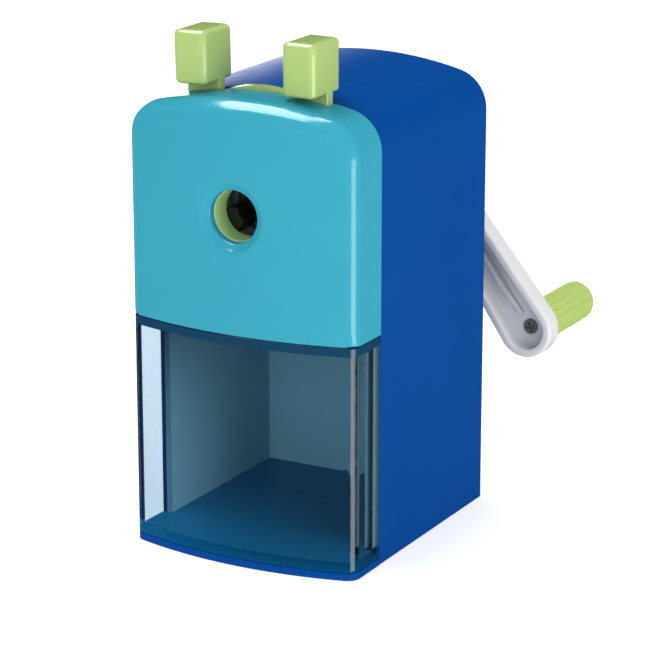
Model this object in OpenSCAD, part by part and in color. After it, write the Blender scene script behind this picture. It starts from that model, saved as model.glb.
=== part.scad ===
// Crank pencil sharpener: a sprung feed carriage with two squeeze levers and
// three jaws in front, one helical cutter turned by a crank behind, and a
// shavings drawer below.
// X runs right, Y runs back and Z runs up. The origin lies on the underside,
// below the pencil hole's axis, in the plane of the case's front edge.

/* [Case] */
// Width of the case
body_w = 62; // [60:0.5:64]
// Depth of the case behind its front edge
body_d = 56.2; // [56:0.2:58]
// Height at the top of the arched roof
case_h = 114.8; // [114.4:0.2:116]
// Radius of the roof's arch
arch_r = 100.6; // [95:1:120]
// Radius of the roof's two corners
roof_corner_r = 9.6; // [9:0.2:10]
// Thickness of the moulded walls
wall = 2; // [1.8:0.1:2.2]
// Thickness of the base plate and its tongue
base_t = 1.85; // [1.7:0.05:1.9]

/* [Front] */
// How far the bowed front stands out of the case
bow_depth = 17.65; // [17:0.1:18.5]
// Radius of the front's bow, seen from above
bow_r = 102; // [95:1:120]
// Radius of the front's upright corners
bow_corner_r = 3.3; // [3:0.1:3.6]
// Height of the line between the drawer and the cover
joint_z = 58.4; // [58:0.1:58.6]

/* [Pencil hole] */
// Height of the pencil's axis
axis_z = 87; // [86.8:0.1:87.2]
// Radius of the hole in the cover
hole_r = 6.4; // [6.2:0.05:6.5]
// Radius of the funnel's outer edge
funnel_r = 8; // [7.6:0.1:8.4]

/* [Levers] */
// Width of a thumb tab
tab_w = 9; // [8:0.1:9.2]
// Depth of a thumb tab
tab_d = 13.4; // [11:0.2:14]
// Height of a thumb tab
tab_h = 13.2; // [10:0.2:14]
// Inner face of the right tab
tab_x = 9.1; // [9:0.05:9.3]
// Extra lean of the left lever, in degrees
left_lean = 1.2; // [0:0.1:2]
// Radius of the levers' arched edges
lever_rim_r = 28.8; // [28.4:0.1:28.9]

/* [Jaws] */
// Radius of the opening between the closed jaws
jaw_grip_r = 3.2; // [3.15:0.05:3.3]
// Distance of a closed jaw's pin from the axis
jaw_pin_at = 12; // [11.9:0.05:12.1]
// Angle between a lever's slots and the radius
slot_angle = 47.85; // [47.5:0.05:48.2]

/* [Feed] */
// Radius of the guide rods
rod_r = 2; // [1.8:0.05:2.1]
// Distance of each rod from the middle
rod_x = 24; // [23.8:0.1:24.2]
// Height of the rods
rod_z = 73; // [72.5:0.1:73.5]
// Turns of each feed spring
feed_turns = 14; // [10:1:15]

/* [Cutter] */
// Radius of the helical cutter
cutter_r = 6; // [5.9:0.05:6.05]
// Half angle of the pencil's point, in degrees
point_angle = 10.5; // [10.3:0.1:10.7]
// Where the pencil's point ends
point_y = 37; // [36.8:0.1:37.2]
// Blades on the cutter
blades = 14; // [10:1:16]
// Module of the gears
gear_module = 0.9; // [0.88:0.01:0.92]

/* [Crank] */
// Length of the crank from the shaft to the knob
crank_len = 57.5; // [52:0.5:60]
// Angle of the crank below the horizontal at rest
crank_angle = 53.35; // [50:0.05:60]
// Width of the crank's arm at the knob
arm_w = 14.8; // [12:0.2:16]
// Width of the crank's arm at the shaft
arm_root_w = 9.2; // [8.6:0.2:14]
// Front plane of the arm's rim
arm_front = 73; // [72.8:0.1:73.5]
// Back plane of the arm
arm_back = 79.5; // [79:0.1:80]
// Radius of the knob
knob_r = 5.4; // [5.2:0.1:6.5]
// Length of the knob
knob_len = 27.5; // [22:0.5:28]

/* [Drawer] */
// Depth of the drawer inside the case
drawer_d = 48; // [40:1:48]
// Thickness of the drawer's walls
drawer_wall = 2; // [1.8:0.1:2.2]

/* [Hidden] */
$fn = 72;

case_blue = [0.00, 0.29, 0.60];
cover_cyan = [0.26, 0.72, 0.84];
tab_green = [0.70, 0.85, 0.52];
knob_green = [0.72, 0.84, 0.42];
crank_white = [0.87, 0.88, 0.90];
smoke_blue = [0.20, 0.38, 0.52, 0.6];
dark_plastic = [0.10, 0.10, 0.11];
grey_plastic = [0.35, 0.36, 0.38];
steel = [0.72, 0.73, 0.75];
brass = [0.80, 0.66, 0.35];
rubber = [0.12, 0.12, 0.12];

// Gap between a shaft or sliding rod and its bore.
run_gap = 0.05;
// Gap between pieces that pass each other.
pass_gap = 0.3;
half_w = body_w / 2;
// The front's sides stand this far inside the case's sides.
side_step = 0.02;

// The feed carriage: cover, plate and clamp.
cover_back = -0.15;
plate_front = -0.1;
plate_back = 1.9;
plate_foot = joint_z + 0.6;
hub_front = -14.2;
clamp_front = -9.9;
clamp_back = -8.9;
boss_back = hub_front - 0.1;
cover_post_r = 3;
cover_posts = [[-24.5, 63.8], [24.5, 63.8], [-23.5, 103.5], [23.5, 103.5]];
clamp_post_at = 22.3;
clamp_post_r = 2.6;
clamp_posts = [30, 150, 270];
clamp_r = 19.8;
plate_bore_r = 6.6;
lever_bore_r = 8.5;
lever_ring_r = 17.3;
lever_neck_r = lever_rim_r + 0.6;
stem_foot_r = lever_rim_r + 0.3;
rim_inner_r = lever_rim_r - 1.9;
lever_back = -0.3;
lever_front = -3.1;
lever_mid = (lever_front + lever_back) / 2;
layer_gap = 0.2;
notch_front = lever_front - 0.2;
tab_front = -9.6;
tab_foot = 28.2;
left_lift = 0.8;
left_shift = 1.5;
tab_round = 1.6;
notch_x = [-20.7, tab_x + tab_w + 0.4];
lug_x = [-8.8, 6.4];
lug_t = 1.2;
lug_z = [20.2, 24];
lug_front = -8.6;
jaw_front = -8.7;
jaw_back = -3.5;
jaw_w = 6;
jaw_end = 16.4;
pin_r = 1;
slot_w = 2 * pin_r + 0.5;
slot_len = 3.4;
rail_w = 2;
jaw_angles = [90, 210, 330];

// The frame inside the case.
bulk_front = 3.5;
bulk_back = 6;
bulk_gap = 0.3;
boss_r = 4.5;
boss_len = 10;
bulk_posts = [[-25.2, 63.6], [25.2, 63.6], [-24.5, 104], [24.5, 104]];
bush_flange_r = 4;
bush_back = bulk_back + 1;
clip_y = 51.65;
clip_t = 0.7;
rod_back = 53.4;
spring_wire_r = 0.32;
feed_coil_r = 2.65;
tube_r = 19.4;
tube_bore_r = 17.6;
tube_front = bulk_back + 0.1;
tube_flange_r = 23.6;
tube_screws_at = 21.6;
tube_screw_angles = [20, 160, 270];
tube_shoulder = 62;
tube_end = 70.5;
shaft_r = 4;
bush_r = 6.5;
bush_front = 54;

// The cutter's axis leans towards the pencil's axis as it runs back, so that
// its blades lie along the pencil's point.
ring_teeth = 24;
pinion_teeth = 12;
gear_offset = gear_module * (ring_teeth - pinion_teeth) / 2;
gear_y = point_y + (cutter_r / cos(point_angle) - gear_offset) / tan(point_angle);
ring_front = gear_y - 0.3;
ring_back = ring_front + 2.8;
pinion_t = 2;
cutter_from = -29.4;
cutter_to = -2.7;
axle_r = 1.5;
axle_from = -33;
axle_to = 5.2;
nose_r = 9;
carrier_front = bulk_back + 1.3;
carrier_ring_r = 17.2;
carrier_ring_t = 3.2;
disc_front = 44;
disc_t = 3;
disc_r = 15;
shaft_end = 76;
flat_half = 3.2;

// The crank.
crank_x = crank_len * cos(crank_angle);
crank_z = axis_z - crank_len * sin(crank_angle);
arm_wall = 2.2;
arm_floor = arm_back - 2;
knob_seat_y = arm_floor + 0.8;
knob_screw_r = 2;
hub_r = 10.6;
side_bite = 0.1;
knob_front = arm_back + 0.5;
sleeve_r = 3;
bead_r = 3.6;
bead_y = knob_front + 18.4;

// The drawer and the base.
drawer_foot = base_t + 0.2;
drawer_top = joint_z - 0.2;
drawer_half = half_w - wall - 0.4;
drawer_back_h = 56;
drawer_step = -0.4;
foot_r = 4;
foot_t = 1;
feet = [[-24, -6], [24, -6], [-24.5, 45], [24.5, 45]];
base_posts = [[-16, 51.6], [16, 51.6]];
screw_r = 1.1;
screw_gap = 0.05;
head_r = 2.1;
head_t = 1.1;

// ---- drawing helpers ----

// Extrudes an X-Z drawing from y0 to y1.
module along_y(y0, y1) {
    translate([0, y1, 0]) rotate([90, 0, 0]) linear_extrude(y1 - y0) children();
}

// The same, for a drawing whose centre is the pencil's axis.
module round_axis(y0, y1) {
    along_y(y0, y1) translate([0, axis_z]) children();
}

// A round bar or bore along Y.
module bar_y(x, z, y0, y1, r) {
    translate([x, y0, z]) rotate([-90, 0, 0]) cylinder(h = y1 - y0, r = r);
}

// Turns a drawing of radius against Y about an axis along Y.
module turned(x, z) {
    translate([x, 0, z]) rotate([-90, 0, 0]) rotate_extrude() children();
}

// A wall with straight sides, an arched top and two rounded corners.
module arched(half, top, arch, corner) {
    centre = top - arch;
    corner_x = half - corner;
    corner_y = centre + sqrt(pow(arch - corner, 2) - pow(corner_x, 2));
    reach = 1.5 * arch / (arch - corner);
    translate([-half, 0]) square([2 * half, corner_y]);
    for (side = [-1, 1]) translate([side * corner_x, corner_y]) circle(corner);
    intersection() {
        translate([0, centre]) circle(arch, $fn = 360);
        polygon([
            [0, centre],
            [reach * corner_x, centre + reach * (corner_y - centre)],
            [-reach * corner_x, centre + reach * (corner_y - centre)]
        ]);
    }
}

// Outline of the case from the front, or a smaller one inside it.
module case_outline(inset = 0) {
    arched(half_w - inset, case_h - inset, arch_r - inset, roof_corner_r - inset);
}

// Outline of the bowed front from above, or a smaller one inside it.
module bow_outline(inset = 0) {
    half = half_w - side_step - inset;
    mirror([0, 1]) arched(half, bow_depth - inset, bow_r - inset, bow_corner_r - inset);
}

// Part of a ring between two angles, measured clockwise from straight up.
module sector(r0, r1, a0, a1) {
    mid = (a0 + a1) / 2;
    reach = 2 * r1;
    intersection() {
        difference() {
            circle(r1);
            circle(r0);
        }
        polygon([
            [0, 0],
            [reach * sin(a0), reach * cos(a0)],
            [reach * sin(mid), reach * cos(mid)],
            [reach * sin(a1), reach * cos(a1)]
        ]);
    }
}

// A cross-head screw: the head's top is at the origin and the shank runs down.
module screw(len, r = screw_r, top_r = head_r, top_t = head_t) {
    slot = 0.5;
    difference() {
        union() {
            translate([0, 0, -top_t]) cylinder(h = top_t, r = top_r);
            translate([0, 0, -len]) cylinder(h = len - top_t, r = r);
        }
        for (turn = [0, 90]) rotate(turn) {
            translate([-0.65 * top_r, -slot / 2, -0.6 * top_t]) cube([1.3 * top_r, slot, top_t]);
        }
    }
}

// A screw along Y whose head faces the front.
module screw_from_front(x, z, y, len) {
    translate([x, y, z]) rotate([90, 0, 0]) screw(len);
}

// A screw along Y whose head faces the back.
module screw_from_back(x, z, y, len) {
    translate([x, y, z]) rotate([-90, 0, 0]) screw(len);
}

// Hole for a sunk screw that enters from y and runs towards the back or front.
module sunk_hole(x, z, y, depth, towards) {
    shank = screw_r + screw_gap;
    head = head_r + screw_gap;
    if (towards == "back") {
        bar_y(x, z, y - 1, y + head_t, head);
        bar_y(x, z, y, y + depth, shank);
    } else {
        bar_y(x, z, y - head_t, y + 1, head);
        bar_y(x, z, y - depth, y, shank);
    }
}

// A helical wire along Z, closed by flat ends.
module coil(len, turns, coil_r, wire_r, steps = 12, sides = 6) {
    rings = turns * steps;
    rise = (len - 2 * wire_r) / rings;
    points = [
        for (i = [0 : rings]) for (j = [0 : sides - 1])
            let (turn = 360 * i / steps, a = 360 * j / sides, r = coil_r + wire_r * cos(a))
            [r * cos(turn), r * sin(turn), wire_r + i * rise + wire_r * sin(a)]
    ];
    tube = [
        for (i = [0 : rings - 1]) for (j = [0 : sides - 1])
            let (k = (j + 1) % sides, a = i * sides, b = a + sides)
            each [[a + j, a + k, b + k], [a + j, b + k, b + j]]
    ];
    foot = [for (j = [sides - 1 : -1 : 0]) j];
    head = [for (j = [0 : sides - 1]) rings * sides + j];
    polyhedron(points, concat(tube, [foot], [head]));
}

// ---- case ----

module body_shell() color(case_blue) {
    difference() {
        union() {
            difference() {
                along_y(0, body_d) case_outline();
                along_y(-1, body_d - wall) translate([0, -1]) square_foot(wall);
                along_y(-1, body_d - wall) case_outline(wall);
            }
            for (p = bulk_posts) bar_y(p[0], p[1], bulk_back, bulk_back + boss_len, boss_r);
            for (p = base_posts) translate([p[0], p[1], base_t + 0.05]) cylinder(h = 12, r = 3);
        }
        bar_y(0, axis_z, body_d - wall - 1, body_d + 1, tube_r + 0.1);
        for (p = bulk_posts) sunk_hole(p[0], p[1], bulk_front, boss_len, "back");
        for (p = base_posts) {
            translate([p[0], p[1], 0]) cylinder(h = 11, r = screw_r + screw_gap);
        }
        for (side = [-1, 1]) translate([side * (half_w - wall) - 0.6, 7.9, -1]) cube([1.2, 6.2, 2.9]);
    }
}

// Opens the case's underside between its side walls.
module square_foot(inset) {
    translate([inset - half_w, 0]) square([body_w - 2 * inset, 5]);
}

module base_plate() color(case_blue) {
    gap = 0.1;
    inner = half_w - wall - gap;
    difference() {
        union() {
            linear_extrude(base_t) intersection() {
                bow_outline();
                translate([-half_w, -bow_depth - 1]) square([body_w, bow_depth + 1 - gap]);
            }
            translate([-inner, -1, 0]) cube([2 * inner, body_d - wall - gap + 1, base_t]);
            for (side = [-1, 1]) translate([side * inner - 0.6, 8, 0]) cube([1.2, 6, base_t]);
        }
        for (p = feet) translate([p[0], p[1], -1]) cylinder(h = foot_t + 1, r = foot_r);
        for (p = base_posts) {
            translate([p[0], p[1], -1]) cylinder(h = 4, r = screw_r + screw_gap);
            translate([p[0], p[1], -1]) cylinder(h = head_t + 1, r = head_r + screw_gap);
        }
    }
}

module base_screws() color(steel) {
    for (p = base_posts) translate([p[0], p[1], 0]) rotate([180, 0, 0]) screw(10);
}

module rubber_feet() color(rubber) {
    for (p = feet) translate([p[0], p[1], 0]) cylinder(h = foot_t, r = foot_r - 0.02);
}

// ---- frame inside the case ----

module front_bulkhead() color(grey_plastic) {
    difference() {
        along_y(bulk_front, bulk_back) intersection() {
            case_outline(wall + bulk_gap);
            translate([-half_w, joint_z + 1.2]) square([body_w, case_h]);
        }
        bar_y(0, axis_z, 0, 10, nose_r + run_gap);
        for (side = [-1, 1]) bar_y(side * rod_x, rod_z, 0, 10, rod_r + 1);
        for (p = bulk_posts) sunk_hole(p[0], p[1], bulk_front, 5, "back");
        for (a = tube_screw_angles) {
            bar_y(tube_screws_at * cos(a), axis_z + tube_screws_at * sin(a), 0, 10, screw_r + screw_gap);
        }
    }
}

module bulkhead_screws() color(steel) {
    for (p = bulk_posts) screw_from_front(p[0], p[1], bulk_front, 9);
}

module guide_bush(side) color(brass) {
    difference() {
        union() {
            bar_y(side * rod_x, rod_z, bulk_front, bulk_back, rod_r + 1);
            bar_y(side * rod_x, rod_z, bulk_back, bush_back, bush_flange_r);
        }
        bar_y(side * rod_x, rod_z, 0, 10, rod_r + run_gap);
    }
}

module guide_bush_left() {
    guide_bush(-1);
}

module guide_bush_right() {
    guide_bush(1);
}

module cutter_tube() color(dark_plastic) {
    difference() {
        turned(0, axis_z) polygon([
            [tube_bore_r, tube_front], [tube_flange_r, tube_front], [tube_flange_r, tube_front + 2],
            [tube_r, tube_front + 2], [tube_r, tube_shoulder], [tube_r - 6, tube_end - 1],
            [bush_r + 3, tube_end], [bush_r, tube_end], [bush_r, bush_front], [bush_r + 2.5, bush_front],
            [bush_r + 2.5, tube_end - 4], [tube_r - 7.4, tube_end - 4],
            [tube_bore_r, tube_shoulder - 0.8]
        ]);
        translate([-14, 10, axis_z - 26]) cube([28, 27, 18]);
        for (a = tube_screw_angles) {
            bar_y(tube_screws_at * cos(a), axis_z + tube_screws_at * sin(a), 0, 10, screw_r + screw_gap);
        }
    }
}

module tube_screws() color(steel) {
    for (a = tube_screw_angles) {
        x = tube_screws_at * cos(a);
        z = axis_z + tube_screws_at * sin(a);
        translate([x, tube_front + 2 + head_t, z]) rotate([-90, 0, 0]) screw(5.5, top_r = 1.9);
    }
}

// One tooth with its pitch point at pitch_r on +X. It points away from the
// gear's centre, or towards it when turn is 180.
module tooth(pitch_r, turn = 0) {
    root = 0.85;
    tip = 0.28;
    high = 0.8 * gear_module;
    deep = 1.6 * gear_module;
    translate([pitch_r, 0]) rotate(turn) {
        polygon([[-deep, -root], [high, -tip], [high, tip], [-deep, root]]);
    }
}

module ring_gear() color(grey_plastic) {
    pitch_r = gear_module * ring_teeth / 2;
    root_r = pitch_r + 1.25 * gear_module;
    step = 360 / ring_teeth;
    round_axis(ring_front, ring_back) {
        difference() {
            circle(tube_bore_r - 0.02);
            circle(root_r);
        }
        for (k = [0 : ring_teeth - 1]) rotate(90 + step * (k + 0.5)) tooth(pitch_r, 180);
    }
}

module rear_bushing() color(brass) {
    turned(0, axis_z) polygon([
        [shaft_r + run_gap, bush_front], [bush_r, bush_front], [bush_r, tube_end],
        [bush_r + 1.5, tube_end], [bush_r + 1.5, tube_end + 0.8], [shaft_r + run_gap, tube_end + 0.8]
    ]);
}

module feed_spring(side) color(steel) {
    translate([side * rod_x, bush_back, rod_z]) rotate([-90, 0, 0]) {
        coil(clip_y - bush_back, feed_turns, feed_coil_r, spring_wire_r);
    }
}

module feed_spring_left() {
    feed_spring(-1);
}

module feed_spring_right() {
    feed_spring(1);
}

// ---- feed carriage ----

module front_cover() color(cover_cyan) {
    front_y = -bow_depth;
    difference() {
        union() {
            difference() {
                intersection() {
                    along_y(front_y - 1, cover_back) case_outline();
                    translate([0, 0, joint_z]) linear_extrude(case_h) bow_outline();
                }
                intersection() {
                    along_y(front_y - 1, 1) case_outline(wall);
                    translate([0, 0, joint_z + wall]) linear_extrude(case_h) bow_outline(wall);
                }
            }
            bar_y(0, axis_z, front_y + 1, boss_back, hole_r + 4);
            for (p = cover_posts) {
                bar_y(p[0], p[1], front_y + 4.2, cover_back, cover_post_r);
            }
        }
        bar_y(0, axis_z, front_y - 1, 0, hole_r);
        translate([0, front_y, axis_z]) rotate([-90, 0, 0]) {
            cylinder(h = 1.4, r1 = funnel_r, r2 = hole_r);
        }
        translate([notch_x[0], notch_front, case_h - 14]) {
            cube([notch_x[1] - notch_x[0], 5, 20]);
        }
        for (p = cover_posts) sunk_hole(p[0], p[1], plate_back, 11.5, "front");
    }
}

module carriage_plate() color(grey_plastic) {
    difference() {
        union() {
            along_y(plate_front, plate_back) intersection() {
                case_outline(wall + 0.35);
                translate([-half_w, plate_foot]) square([body_w, case_h]);
            }
            bar_y(0, axis_z, lever_front - 0.2, plate_front, lever_bore_r - run_gap);
        }
        bar_y(0, axis_z, -10, 10, plate_bore_r);
        for (side = [-1, 1]) bar_y(side * rod_x, rod_z, -1, 10, rod_r);
        for (p = cover_posts) sunk_hole(p[0], p[1], plate_back, 5, "front");
        for (a = clamp_posts) {
            sunk_hole(clamp_post_at * cos(a), axis_z + clamp_post_at * sin(a), plate_back, 5, "front");
        }
    }
}

module cover_screws() color(steel) {
    for (p = cover_posts) screw_from_back(p[0], p[1], plate_back, 11);
}

module clamp_body() color(tab_green) {
    rail_x = jaw_w / 2 + 0.15;
    difference() {
        union() {
            round_axis(hub_front, clamp_front) circle(hole_r + 2.4);
            round_axis(clamp_front, clamp_back) circle(clamp_r);
            round_axis(clamp_back, jaw_back + 0.1) for (a = jaw_angles) rotate(a) {
                for (y = [rail_x, -rail_x - rail_w]) translate([7.2, y]) square([12.2, rail_w]);
            }
            for (a = clamp_posts) {
                z = axis_z + clamp_post_at * sin(a);
                bar_y(clamp_post_at * cos(a), z, clamp_front, plate_front, clamp_post_r);
            }
        }
        bar_y(0, axis_z, hub_front - 1, 0, hole_r - 0.2);
        for (a = clamp_posts) {
            bar_y(clamp_post_at * cos(a), axis_z + clamp_post_at * sin(a), -7.5, 1, screw_r + screw_gap);
        }
    }
}

module clamp_screws() color(steel) {
    for (a = clamp_posts) {
        screw_from_back(clamp_post_at * cos(a), axis_z + clamp_post_at * sin(a), plate_back, 9);
    }
}

module guide_rod(side) color(steel) {
    difference() {
        union() {
            bar_y(side * rod_x, rod_z, plate_front - 2, plate_front, rod_r + 1.2);
            bar_y(side * rod_x, rod_z, plate_front, rod_back, rod_r);
        }
        difference() {
            bar_y(side * rod_x, rod_z, clip_y, clip_y + clip_t, rod_r + 1);
            bar_y(side * rod_x, rod_z, clip_y - 1, clip_y + clip_t + 1, rod_r - 0.4);
        }
    }
}

module guide_rod_left() {
    guide_rod(-1);
}

module guide_rod_right() {
    guide_rod(1);
}

module rod_clips() color(steel) {
    for (side = [-1, 1]) difference() {
        bar_y(side * rod_x, rod_z, clip_y, clip_y + clip_t, rod_r + 2);
        bar_y(side * rod_x, rod_z, clip_y - 1, clip_y + clip_t + 1, rod_r - 0.4);
        translate([side * rod_x - 1.2, clip_y - 1, rod_z - 8]) cube([2.4, clip_t + 2, 8]);
    }
}

// ---- levers and jaws ----

// The right-hand thumb tab on its stem, drawn about the pencil's axis.
module thumb_tab(shift = 0, lift = 0) {
    along_y(lever_front, lever_back) difference() {
        translate([tab_x + shift, tab_foot - 8]) square([tab_w, 9 + lift]);
        circle(stem_foot_r);
    }
    translate([tab_x + shift, tab_front, tab_foot + lift]) linear_extrude(tab_h) {
        translate([tab_round, 0]) square([tab_w - 2 * tab_round, tab_d]);
        translate([0, tab_round]) square([tab_w, tab_d - 2 * tab_round]);
        for (x = [tab_round, tab_w - tab_round]) for (y = [tab_round, tab_d - tab_round]) {
            translate([x, y]) circle(tab_round);
        }
    }
}

// A lever's ring, neck and arched rim. The slots lean by lean from the radius.
module lever_ring(y0, y1, neck, rim, lean) {
    round_axis(y0, y1) difference() {
        union() {
            circle(lever_ring_r);
            sector(lever_ring_r - 2, rim_inner_r + 0.5, neck[0], neck[1]);
            sector(rim_inner_r, lever_rim_r, rim[0], rim[1]);
            sector(rim_inner_r + 1, lever_neck_r, neck[2], neck[3]);
        }
        circle(lever_bore_r);
        for (a = jaw_angles) rotate(a) translate([jaw_pin_at, 0]) rotate(lean) {
            translate([-0.4, -slot_w / 2]) square([slot_len + 0.8, slot_w]);
            for (end = [-0.4, slot_len + 0.4]) translate([end, 0]) circle(d = slot_w);
        }
    }
}

// The lug on a lever that carries one end of the lever spring.
module spring_lug(x, y) {
    translate([x, lug_front, axis_z + lug_z[0]]) {
        cube([lug_t, y - lug_front, lug_z[1] - lug_z[0]]);
    }
}

module lever_left() color(tab_green) {
    lever_ring(lever_front, lever_mid - layer_gap / 2, [-42, -14, -41, -24], [-42.5, 17], slot_angle);
    translate([0, 0, axis_z]) rotate([0, -left_lean, 0]) mirror([1, 0, 0]) thumb_tab(left_shift, left_lift);
    spring_lug(lug_x[0], lever_front + 0.5);
}

module lever_right() color(tab_green) {
    lever_ring(lever_mid + layer_gap / 2, lever_back, [11, 39, 20.5, 38.5], [-21, 39.5], -slot_angle);
    translate([0, 0, axis_z]) thumb_tab();
    spring_lug(lug_x[1], lever_mid + layer_gap / 2 + 0.5);
}

module lever_spring() color(steel) {
    from = lug_x[0] + lug_t;
    translate([from, (lug_front + lever_front) / 2 - 0.4, axis_z + (lug_z[0] + lug_z[1]) / 2]) {
        rotate([0, 90, 0]) coil(lug_x[1] - from, 7, 1.55, 0.25);
    }
}

module jaw(angle) color(dark_plastic) {
    nose = 1.6;
    side = jaw_w / 2;
    round_axis(jaw_front, jaw_back) rotate(angle) difference() {
        polygon([
            [jaw_grip_r - 0.8, -nose], [jaw_grip_r + 2, -side], [jaw_end, -side],
            [jaw_end, side], [jaw_grip_r + 2, side], [jaw_grip_r - 0.8, nose]
        ]);
        circle(jaw_grip_r);
    }
    pin_z = axis_z + jaw_pin_at * sin(angle);
    bar_y(jaw_pin_at * cos(angle), pin_z, jaw_back - 0.5, lever_back - 0.15, pin_r);
}

module jaw_top() {
    jaw(jaw_angles[0]);
}

module jaw_left() {
    jaw(jaw_angles[1]);
}

module jaw_right() {
    jaw(jaw_angles[2]);
}

// ---- cutter ----

// Places what follows on the cutter's leaning axis, with its origin in the gears' plane.
module on_cutter_axis() {
    translate([0, gear_y, axis_z + gear_offset]) rotate([-(90 + point_angle), 0, 0]) children();
}

module cutter_carrier() color(steel) {
    ring_back_y = carrier_front + carrier_ring_t;
    difference() {
        union() {
            bar_y(0, axis_z, bulk_front + 0.2, carrier_front, nose_r);
            bar_y(0, axis_z, carrier_front, ring_back_y, carrier_ring_r);
            intersection() {
                turned(0, axis_z) polygon([
                    [12.6, ring_back_y - 1], [16.6, ring_back_y - 1], [9.3, ring_front - 1.2],
                    [9.3, ring_back + 0.4], [12, disc_front + 1], [6.2, disc_front + 1],
                    [6.2, ring_front - 3]
                ]);
                along_y(0, 60) translate([0, axis_z]) polygon([
                    [0, 0], [36, -12], [30, -34], [-30, -34], [-36, -12]
                ]);
            }
            bar_y(0, axis_z, disc_front, disc_front + disc_t, disc_r);
            bar_y(0, axis_z, disc_front + disc_t - 1, bush_front - pass_gap, shaft_r + 2);
            bar_y(0, axis_z, bush_front - 1, tube_end + 0.9, shaft_r);
            along_y(tube_end, shaft_end) translate([0, axis_z]) intersection() {
                circle(shaft_r);
                rotate(-crank_angle) square([20, 2 * flat_half], center = true);
            }
        }
        bar_y(0, axis_z, 0, ring_back_y + 1, plate_bore_r);
        bar_y(0, axis_z, 64, 90, 1.5 + screw_gap);
        on_cutter_axis() translate([0, 0, axle_from]) cylinder(h = axle_to - axle_from, r = axle_r);
    }
}

module cutter_axle() color(steel) {
    on_cutter_axis() translate([0, 0, axle_from]) cylinder(h = axle_to - axle_from, r = axle_r);
}

module helical_cutter() color(steel) {
    root = cutter_r - 1.1;
    len = cutter_to - cutter_from;
    step = 360 / blades;
    on_cutter_axis() translate([0, 0, cutter_from]) difference() {
        linear_extrude(len, twist = 150, slices = 30) polygon([
            for (k = [0 : blades - 1]) each [
                cutter_r * [cos(k * step), sin(k * step)],
                root * [cos((k + 0.18) * step), sin((k + 0.18) * step)],
                root * [cos((k + 0.6) * step), sin((k + 0.6) * step)]
            ]
        ]);
        translate([0, 0, -1]) cylinder(h = len + 2, r = axle_r + run_gap);
    }
}

module cutter_pinion() color(brass) {
    pitch_r = gear_module * pinion_teeth / 2;
    step = 360 / pinion_teeth;
    on_cutter_axis() difference() {
        union() {
            translate([0, 0, cutter_to]) cylinder(h = -cutter_to, r = 3);
            translate([0, 0, -pinion_t / 2]) linear_extrude(pinion_t) {
                circle(pitch_r - 1.25 * gear_module);
                for (k = [0 : pinion_teeth - 1]) rotate(step * k + 90) tooth(pitch_r);
            }
        }
        translate([0, 0, cutter_to - 1]) cylinder(h = 8, r = axle_r + run_gap);
    }
}

// ---- crank ----

// Places what follows with +X along the crank, in the X-Z drawing plane.
module crank_plan() {
    translate([0, axis_z]) rotate(-crank_angle) children();
}

// Outline of the crank's arm, or a smaller one inside it: a round hub, a
// round end and the straight sides that run from one to the other.
module arm_outline(inset = 0) {
    end_r = arm_w / 2;
    cosine = (arm_root_w / 2 - end_r) / crank_len;
    sine = sqrt(1 - cosine * cosine);
    root = arm_root_w / 2 - inset - side_bite;
    end = end_r - inset - side_bite;
    circle(hub_r - inset);
    translate([crank_len, 0]) circle(end_r - inset);
    polygon([
        [root * cosine, -root * sine], [crank_len + end * cosine, -end * sine],
        [crank_len + end * cosine, end * sine], [root * cosine, root * sine]
    ]);
}

module crank_arm() color(crank_white) {
    hub_front_y = tube_end + 1.1;
    difference() {
        union() {
            difference() {
                along_y(arm_front, arm_back) crank_plan() arm_outline();
                along_y(arm_front - 1, arm_floor) crank_plan() arm_outline(arm_wall);
            }
            bar_y(0, axis_z, hub_front_y, arm_back, shaft_r + 3.2);
            along_y(arm_floor - 2.4, arm_back) crank_plan() for (side = [-1, 1]) {
                translate([7, side * 1.8 - 0.5]) square([22, 1]);
            }
            along_y(arm_floor - 2.4, arm_back) crank_plan() translate([34, -0.6]) square([20, 1.2]);
        }
        along_y(hub_front_y - 1, shaft_end + 0.2) crank_plan() intersection() {
            circle(shaft_r + run_gap);
            square([20, 2 * (flat_half + run_gap)], center = true);
        }
        bar_y(0, axis_z, 70, 90, 1.5 + screw_gap);
        bar_y(crank_x, crank_z, 70, 90, screw_r + screw_gap);
        bar_y(crank_x, crank_z, arm_floor - 0.1, knob_seat_y, knob_screw_r + screw_gap);
    }
}

module hub_washer() color(steel) {
    difference() {
        bar_y(0, axis_z, arm_back, arm_back + 0.6, 4.6);
        bar_y(0, axis_z, arm_back - 1, arm_back + 2, 1.5 + screw_gap);
    }
}

module hub_screw() color(steel) {
    top_t = 1.8;
    translate([0, arm_back + 0.6 + top_t, axis_z]) rotate([-90, 0, 0]) screw(16, 1.5, 3.2, top_t);
}

module knob_sleeve() color(crank_white) {
    bore = screw_r + screw_gap;
    turned(crank_x, crank_z) polygon([
        [bore, arm_back], [sleeve_r + 0.8, arm_back], [sleeve_r + 0.8, arm_back + 0.4],
        [sleeve_r, arm_back + 0.4], [sleeve_r, bead_y], [bead_r, bead_y + 0.5],
        [bead_r, bead_y + 1.1], [sleeve_r - 0.6, bead_y + 2.2], [bore, bead_y + 2.2]
    ]);
}

module knob_screw() color(steel) {
    top_t = 1.2;
    translate([crank_x, knob_seat_y - top_t, crank_z]) rotate([90, 0, 0]) rotate([0, 0, 25]) {
        screw(18, screw_r, knob_screw_r, top_t);
    }
}

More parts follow.
